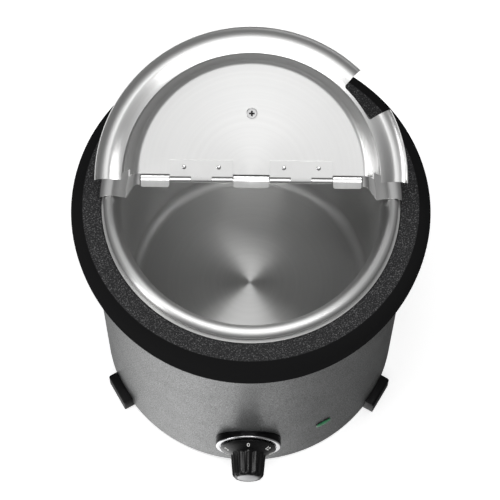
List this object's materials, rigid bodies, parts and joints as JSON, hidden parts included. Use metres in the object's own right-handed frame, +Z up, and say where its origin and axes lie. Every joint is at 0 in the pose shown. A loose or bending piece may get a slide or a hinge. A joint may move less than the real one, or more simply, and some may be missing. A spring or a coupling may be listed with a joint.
{
  "type": "soup kettle",
  "caption": "Round electric bain-marie soup kettle with black collar ring, lift-out steel pot and split hinged lid with ladle notch.",
  "frame": {"origin": "centre of the base plate's flat underside, on the kettle's vertical axis; the feet reach 8 mm below it", "axes": "+Z up along the pot's axis, -Y towards the control knob, +X to the right seen from the knob, along the lid's hinge line"},
  "size_m": [0.34, 0.3642, 0.4849],
  "materials": {
    "base_sheet": "galvanised sheet",
    "bezel_metal": "satin silver",
    "cap_metal": "satin silver, spun",
    "collar_plastic": "black, finely grained top and smooth edge",
    "dial_plastic": "black with white scale",
    "foot_plastic": "black, smooth",
    "gland_plastic": "black nylon",
    "hammer_paint": "silver-grey hammertone paint",
    "heater_sheath": "heat-darkened sheath",
    "hinge_steel": "satin",
    "lamp_green": "translucent green",
    "lid_knob_plastic": "black phenolic",
    "lid_steel": "fine satin, bright rim",
    "phenolic": "dark moulded",
    "pot_steel": "circular brushed, bright rim",
    "terminal_white": "white ceramic",
    "well_steel": "plain drawn sheet",
    "zinc_steel": "zinc plated, satin"
  },
  "bodies": {
    "housing": {"base_plate": "base_sheet", "base_screw_1": "zinc_steel", "base_screw_2": "zinc_steel", "base_screw_3": "zinc_steel", "body_shell": "hammer_paint", "cable_gland": "gland_plastic", "clamp_nut": "zinc_steel", "clamp_stud": "zinc_steel", "collar_ring": "collar_plastic", "dial_bezel": "bezel_metal", "foot_1": "foot_plastic", "foot_2": "foot_plastic", "foot_3": "foot_plastic", "foot_screw_1": "zinc_steel", "foot_screw_2": "zinc_steel", "foot_screw_3": "zinc_steel", "gland_lock_nut": "gland_plastic", "heater_clamp_plate": "zinc_steel", "heating_element": "heater_sheath", "pilot_lamp_body": "phenolic", "pilot_lamp_lens": "lamp_green", "terminal_block": "terminal_white", "thermal_cutout": "heater_sheath", "thermostat_body": "phenolic", "thermostat_screw_left": "zinc_steel", "thermostat_screw_right": "zinc_steel", "water_well": "well_steel"},
    "pot": {"soup_pot": "pot_steel"},
    "lid_rear": {"lid_rear_half": "lid_steel", "hinge_leaf_rear_left": "hinge_steel", "hinge_leaf_rear_right": "hinge_steel", "hinge_pin_left": "zinc_steel", "hinge_pin_right": "zinc_steel", "rivet_rear_left_1": "zinc_steel", "rivet_rear_left_2": "zinc_steel", "rivet_rear_right_1": "zinc_steel", "rivet_rear_right_2": "zinc_steel"},
    "flap": {"lid_flap": "lid_steel", "hinge_leaf_flap_left": "hinge_steel", "hinge_leaf_flap_right": "hinge_steel", "rivet_flap_left_1": "zinc_steel", "rivet_flap_left_2": "zinc_steel", "rivet_flap_right_1": "zinc_steel", "rivet_flap_right_2": "zinc_steel", "lid_knob": "lid_knob_plastic", "lid_knob_screw": "zinc_steel"},
    "dial": {"control_knob": "dial_plastic", "knob_cap": "cap_metal", "thermostat_shaft": "zinc_steel"}
  },
  "joints": [
    {"name": "pot_lift", "type": "slide", "parent": "housing", "child": "pot", "axis": [0, 0, 1], "range_m": [0, 0.215]},
    {"name": "lid_lift", "type": "slide", "parent": "pot", "child": "lid_rear", "axis": [0, 0, 1], "range_m": [0, 0.1]},
    {"name": "flap_hinge", "type": "hinge", "parent": "lid_rear", "child": "flap", "pos_m": [0, 0.005, 0.3625], "axis": [1, 0, 0], "range_deg": [0, 143.4]},
    {"name": "dial_turn", "type": "hinge", "parent": "housing", "child": "dial", "pos_m": [0, -0.1535, 0.066], "axis": [0, 1, 0], "range_deg": [0, 300]}
  ]
}
